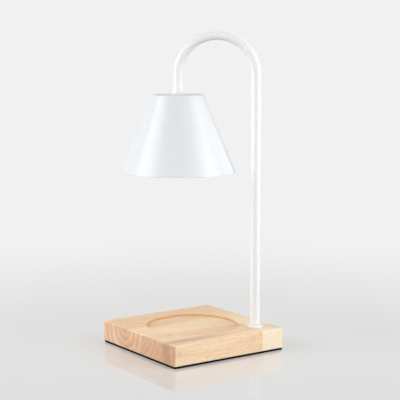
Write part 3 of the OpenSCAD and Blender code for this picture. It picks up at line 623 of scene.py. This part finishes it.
spring_steel = mottled("blackened_spring_steel", (0.16, 0.165, 0.175), (0.10, 0.105, 0.115), 900, 0.36,
                       metal=1.0, dimple=0.2, depth=0.00003)
nylon = mottled("natural_nylon", (0.80, 0.79, 0.74), (0.75, 0.74, 0.69), 500, 0.46, dimple=0.2, depth=0.00004)
dress(nylon, "swivel_washer", "post_bush")
dress(zinc, "stop_pin", "stop_washer", "foot_washer", "foot_nut", "foot_spigot")
dress(spring_steel, "foot_spring_washer")


# ---------------------------------------------------------------- bent tube
# One length of thin-walled steel tube, bent in a half circle at the top, powder coated white.
# Its long leg is the post and its short leg carries the shade. The two leads run inside it.

tube_radius, tube_wall, bend_radius = 0.0055, 0.001, 0.0445
tube_foot, arch_height, short_leg_end = 0.0271, 0.312, 0.2910
tube_sides, post_rings, arch_rings = 56, 12, 72
arch_middle = Vector((*post, arch_height)) + toward * bend_radius

bpy.ops.object.select_all(action="DESELECT")
bpy.ops.mesh.primitive_circle_add(vertices=tube_sides, radius=tube_radius, location=(*post, tube_foot))
bpy.ops.object.transform_apply(location=True)
tube = bpy.context.object
bpy.ops.object.mode_set(mode="EDIT")
bpy.ops.mesh.select_all(action="SELECT")
for _ in range(post_rings):
    bpy.ops.mesh.extrude_region()
    bpy.ops.transform.translate(value=(0, 0, (arch_height - tube_foot) / post_rings))
bpy.ops.mesh.spin(steps=arch_rings, angle=math.pi, center=arch_middle, axis=-across)
pick(tube, "VERT", lambda spot, facing: (abs(spot.z - arch_height) < touching
                                         and (spot - arch_middle).dot(toward) > 0))
bpy.ops.mesh.extrude_region()
bpy.ops.transform.translate(value=(0, 0, short_leg_end - arch_height))
bpy.ops.mesh.select_all(action="SELECT")
bpy.ops.mesh.remove_doubles(threshold=1e-6)
bpy.ops.mesh.normals_make_consistent(inside=False)
bpy.ops.object.mode_set(mode="OBJECT")
wall = tube.modifiers.new("wall", "SOLIDIFY")
wall.thickness, wall.offset = tube_wall, -1
bpy.ops.object.modifier_apply(modifier=wall.name)
smooth(tube)
# The tube's white coat is made paler than the shade's: painted light on the same white paint. The collar
# shares it.
tube_coat_painted_paler = powder_coat("tube_powder_coat_painted_paler", (0.828, 0.831, 0.838), (0.814, 0.817, 0.825))
tune(tube_coat_painted_paler, {"Coat Weight": 0.20, "Coat Roughness": 0.15})
mount(tube, "bent_tube", "arm", "white_paint", tube_coat_painted_paler, "arm_tube")

dress(lead_skin, "arm_leads")
dress(zinc, "head_spigot")

# A weak light from above and behind makes the arch's back pale. It shines on the tube alone.
top_light = softbox("softbox_top", 165, 1.15, 1.5, 1.2, 0.8, 5.5)
top_light.light_linking.receiver_collection = light_group("lit_tube", tube, "INCLUDE")


# ---------------------------------------------------------------- collar
# A small turned cap between the short leg and the shade, with a hollow flare down to a thin lip.
# The short leg stands in it, and the spigot's thread passes through its floor.

shade_top = 0.2900
head = tuple((Vector((*post, 0)) + toward * 2 * bend_radius).xy)
spigot_hole, collar_socket, collar_draft = 0.00405, 0.00555, 0.00001
collar_radius, collar_edge, collar_rim, rim_rounding = 0.0075, 0.00015, 0.0058, 0.0001
collar_lip, lip_in, lip_up, collar_flare = shade_top + 0.0008, 0.00012, 0.00016, 0.0016
collar_floor, collar_top = shade_top + 0.0010, shade_top + 0.0034

collar_profile = ([(spigot_hole, shade_top), (collar_radius - collar_edge, shade_top),
                   (collar_radius, shade_top + collar_edge), (collar_radius, collar_lip),
                   (collar_radius - lip_in, collar_lip + lip_up)]
                  + arc_points(collar_radius, collar_floor + collar_flare, collar_flare, -97, -180, 7)
                  + [(collar_rim, collar_top - rim_rounding), (collar_rim - collar_edge, collar_top),
                     (collar_socket + collar_draft, collar_top), (collar_socket, collar_floor),
                     (spigot_hole, collar_floor)])
collar = smooth(turned(collar_profile, head, 80))
mount(collar, "flared_collar", "arm", "white_paint", tube_coat_painted_paler, "shade_collar")


# ---------------------------------------------------------------- shade
# A cone spun from thin sheet, with a flat top, a round shoulder and a plain trimmed rim. It is
# powder coated white inside and out.

shade_rim, shade_wall, shoulder = 0.2020, 0.0007, 0.0022
rim_radius, top_radius, top_middle = 0.0655, 0.0295, 0.0150
lean = math.atan2(rim_radius - top_radius, shade_top - shade_rim)
shoulder_x, shoulder_z = top_radius - shoulder * math.tan((math.pi / 2 - lean) / 2), shade_top - shoulder
up_wall = Vector((-math.sin(lean), math.cos(lean)))
outward = Vector((math.cos(lean), math.sin(lean)))
rim_middle = Vector((rim_radius - shade_wall / 2 / math.cos(lean), shade_rim)) + up_wall * shade_wall / 2


def between(first, last, steps=8):
    """The points between two ends of a straight wall."""
    return [tuple(Vector(first).lerp(Vector(last), i / steps)) for i in range(1, steps)]


rim_round = [tuple(rim_middle + outward * shade_wall / 2 * math.cos(a)
                   - up_wall * shade_wall / 2 * math.sin(a))
             for a in (math.pi * i / 6 for i in range(6, -1, -1))]
outer_shoulder = arc_points(shoulder_x, shoulder_z, shoulder, math.degrees(lean), 90, 8)
inner_shoulder = arc_points(shoulder_x, shoulder_z, shoulder - shade_wall, 90, math.degrees(lean), 8)
shade_profile = (rim_round + between(rim_round[-1], outer_shoulder[0]) + outer_shoulder
                 + [(top_middle, shade_top), (spigot_hole, shade_top),
                    (spigot_hole, shade_top - shade_wall), (top_middle, shade_top - shade_wall)]
                 + inner_shoulder + between(inner_shoulder[-1], rim_round[0]))
shade = smooth(turned(shade_profile, head, 160))
# The shade's white coat is made darker and cooler than the tube's: painted shade on the same white paint.
shade_coat_painted_darker = powder_coat("shade_powder_coat_painted_darker", (0.755, 0.780, 0.805), (0.742, 0.768, 0.793))
mount(shade, "spun_shade", "arm", "white_paint", shade_coat_painted_darker, "shade")

# The left light passes the shade, so that no shadow of it lies on the post.
front_lights[0].light_linking.blocker_collection = light_group("shade_casts_nothing", shade, "EXCLUDE")


# ---------------------------------------------------------------- head fittings
# A fibre washer, a steel strap, a spring washer and a nut hold the shade on the short leg's
# spigot. The strap is bent down on both sides, and its feet lie on the lampholder's back.

strap_half, strap_width, strap_thick, strap_bend, strap_edge = 0.0134, 0.009, 0.0012, 0.0014, 0.0002
strap_low, strap_high, strap_foot = 0.2751, 0.2877, 0.007
holder_screw_hole, holder_screw_out, drill_reach = 0.0013, 0.0106, 0.002

strap_path = ([(-strap_foot, strap_low)]
              + arc_points(-strap_half + strap_bend, strap_low + strap_bend, strap_bend, -90, -180, 5)
              + arc_points(-strap_half + strap_bend, strap_high - strap_bend, strap_bend, 180, 90, 5))
strap_path = strap_path + [(-x, z) for x, z in reversed(strap_path)]
bpy.ops.mesh.primitive_plane_add(size=strap_width, location=(strap_path[0][0], 0, strap_path[0][1]))
bpy.ops.object.transform_apply(location=True)
strap = bpy.context.object
bpy.ops.object.mode_set(mode="EDIT")
pick(strap, "VERT", lambda spot, facing: spot.x > strap_path[0][0])
bpy.ops.mesh.delete(type="VERT")
bpy.ops.mesh.select_all(action="SELECT")
bpy.ops.transform.translate(value=(strap_width / 2, 0, 0))
for (x0, z0), (x1, z1) in zip(strap_path, strap_path[1:]):
    bpy.ops.mesh.extrude_region()
    bpy.ops.transform.translate(value=(x1 - x0, 0, z1 - z0))
bpy.ops.mesh.select_all(action="SELECT")
bpy.ops.mesh.normals_make_consistent(inside=False)
bpy.ops.object.mode_set(mode="OBJECT")
thickness = strap.modifiers.new("thickness", "SOLIDIFY")
thickness.thickness, thickness.offset, thickness.use_even_offset = strap_thick, 0, True
bpy.ops.object.modifier_apply(modifier=thickness.name)
soft = strap.modifiers.new("edges", "BEVEL")
soft.width, soft.segments, soft.angle_limit = strap_edge, 2, math.radians(60)
bpy.ops.object.modifier_apply(modifier=soft.name)
cut(strap, bore((0, 0, strap_high - drill_reach), (0, 0, strap_high + drill_reach), spigot_hole),
    *[bore((x, 0, strap_low - drill_reach), (x, 0, strap_low + drill_reach), holder_screw_hole, 24)
      for x in (-holder_screw_out, holder_screw_out)])

# The strap was made round the origin. It is turned to the arm's direction, on the shade's axis.
bpy.ops.object.select_all(action="DESELECT")
strap.select_set(True)
bpy.context.view_layer.objects.active = strap
strap.rotation_euler = (0, 0, math.radians(135))
strap.location = (*head, 0)
bpy.ops.object.transform_apply(location=True, rotation=True)
smooth(strap)
mount(strap, "bent_strap", "arm", "steel", zinc, "holder_bracket")

fibre_board = mottled("vulcanised_fibre", (0.30, 0.11, 0.07), (0.22, 0.08, 0.05), 800, 0.62, dimple=0.3)
dress(fibre_board, "shade_gasket")
dress(spring_steel, "head_lock_washer")
dress(zinc, "head_nut")


# ---------------------------------------------------------------- lampholder
# Two discs of glazed ceramic, screwed together and to the strap. The lower one has the two
# keyholes for the bulb's pins, and brass springs press on the pins from above.

glaze = mottled("glazed_ceramic", (0.84, 0.83, 0.79), (0.80, 0.79, 0.75), 260, 0.16,
                dimple=0.12, depth=0.00004, rough_swing=0.06)
tune(glaze, {"Coat Weight": 0.5, "Coat Roughness": 0.08})
dress(glaze, "holder_front", "holder_back")
dress(brass, "holder_contacts")
dress(zinc, "holder_screws")


# ---------------------------------------------------------------- reflector bulb
# A mains halogen bulb of 50 mm: a pressed-glass bowl with a mirrored, faceted inside, a clear
# front glass, a small capsule on its axis, and a ceramic base with two turned pins. It is lit,
# and its facets have a faint painted glow.

bulb_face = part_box("bulb_reflector")[0].z
warm_light = (1.0, 0.80, 0.52, 1)
bulb_radius, bulb_chamfer = 0.0250, 0.0004
bowl_neck, bowl_low, bowl_rows = 0.0095, bulb_face + 0.004, 14
neck_radius, neck_z, neck_length = 0.00695, bulb_face + 0.032, 0.006
mirror_neck, mirror_mouth, mirror_low, mirror_top = 0.0054, 0.0220, bulb_face + 0.0025, neck_z - 0.0014
facet_rows, facet_reach = 9, 0.0006
glass_seat, glass_radius, glass_round = 0.02305, 0.0228, 0.0002
glass_low, glass_high = bulb_face + 0.0004, bulb_face + 0.0020


def bowl_height(u, low, high):
    """The height of a dish, at a share u of the way from its neck to its mouth."""
    return low + (high - low) * (1 - u * u)


def bowl_curve(neck, mouth, low, high, shares):
    """Points down a dish's wall, at shares of the way from its neck to its mouth."""
    return [(neck + (mouth - neck) * u, bowl_height(u, low, high)) for u in shares]


bowl_profile = ([(glass_seat, bulb_face), (bulb_radius - bulb_chamfer, bulb_face),
                 (bulb_radius, bulb_face + bulb_chamfer)]
                + bowl_curve(bowl_neck, bulb_radius, bowl_low, neck_z,
                             [1 - i / bowl_rows for i in range(bowl_rows + 1)])
                + [(neck_radius, neck_z), (neck_radius, neck_z + neck_length),
                   (mirror_neck, neck_z + neck_length)]
                + bowl_curve(mirror_neck, mirror_mouth, mirror_low, mirror_top,
                             [i / facet_rows for i in range(facet_rows + 1)])
                + [(mirror_mouth, glass_high), (glass_seat, glass_high)])
bowl = smooth(turned(bowl_profile, head, 48), 35)
bowl_glass = mottled("pressed_glass_bowl", (0.62, 0.64, 0.66), (0.56, 0.58, 0.61), 300, 0.14,
                     metal=0.6, dimple=0.15)
mirror_film_painted_glow = mottled("mirrored_facets_painted_glow", (0.86, 0.84, 0.80), (0.80, 0.79, 0.77), 500, 0.10,
                      metal=1.0, dimple=0.1, depth=0.00003, rough_swing=0.05)
# A faint warm glow on the facets: painted light that stands in for the lit capsule mirrored in them.
tune(mirror_film_painted_glow, {"Emission Color": warm_light, "Emission Strength": 0.28})
mount(bowl, "faceted_bowl", "bulb", "reflector_glass", bowl_glass, "bulb_reflector")
bowl.data.materials.append(mirror_film_painted_glow)
for face in bowl.data.polygons:
    u = ((face.center.xy - Vector(head)).length - mirror_neck) / (mirror_mouth - mirror_neck)
    if 0 < u < 1.01 and abs(face.center.z - bowl_height(u, mirror_low, mirror_top)) < facet_reach:
        face.material_index = 1
        face.use_smooth = False

clear_glass, melt, glass_skin = new_finish("clear_front_glass")
in_glass = add_node(melt, "ShaderNodeTexCoord").outputs["Object"]
waves = stretched_noise(melt, in_glass, (1, 1, 1), 260, 2.0, 0.5)
bump = add_node(melt, "ShaderNodeBump", {"Strength": 0.15, "Distance": 0.0001, "Height": waves})
melt.links.new(bump.outputs[0], glass_skin.inputs["Normal"])
melt.links.new(blend_colours(melt, waves, (0.97, 0.98, 0.98, 1), (0.93, 0.95, 0.95, 1)),
               glass_skin.inputs["Base Color"])
tune(clear_glass, {"Transmission Weight": 1.0, "Roughness": 0.06, "IOR": 1.45})
lens = turned([(pole, glass_low)]
              + arc_points(glass_radius, glass_low + glass_round, glass_round, -90, 0, 3)
              + arc_points(glass_radius, glass_high - glass_round, glass_round, 0, 90, 3)
              + [(pole, glass_high)], head, 96, closed=False)
smooth(lens)
mount(lens, "front_glass", "bulb", "clear_glass", clear_glass, "bulb_front_glass")

glow = mottled("lit_quartz_capsule", (0.95, 0.93, 0.88), (0.90, 0.88, 0.84), 400, 0.2)
tune(glow, {"Emission Color": warm_light, "Emission Strength": 2.5})
nickel = mottled("nickel_plated_pins", (0.68, 0.67, 0.64), (0.60, 0.59, 0.57), 900, 0.26,
                 metal=1.0, dimple=0.15, depth=0.00003)
dress(glow, "bulb_capsule")
dress(nickel, "bulb_pins")
dress(glaze, "bulb_base")

bpy.ops.object.light_add(type="SPOT", location=(*head, bulb_face - 0.002))
beam = bpy.context.object
beam.name = "bulb_beam"
beam.data.energy = 0.18
beam.data.color = (1.0, 0.78, 0.52)
beam.data.spot_size = math.radians(150)
beam.data.spot_blend = 1.0
beam.data.shadow_soft_size = 0.012
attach(beam, "arm")
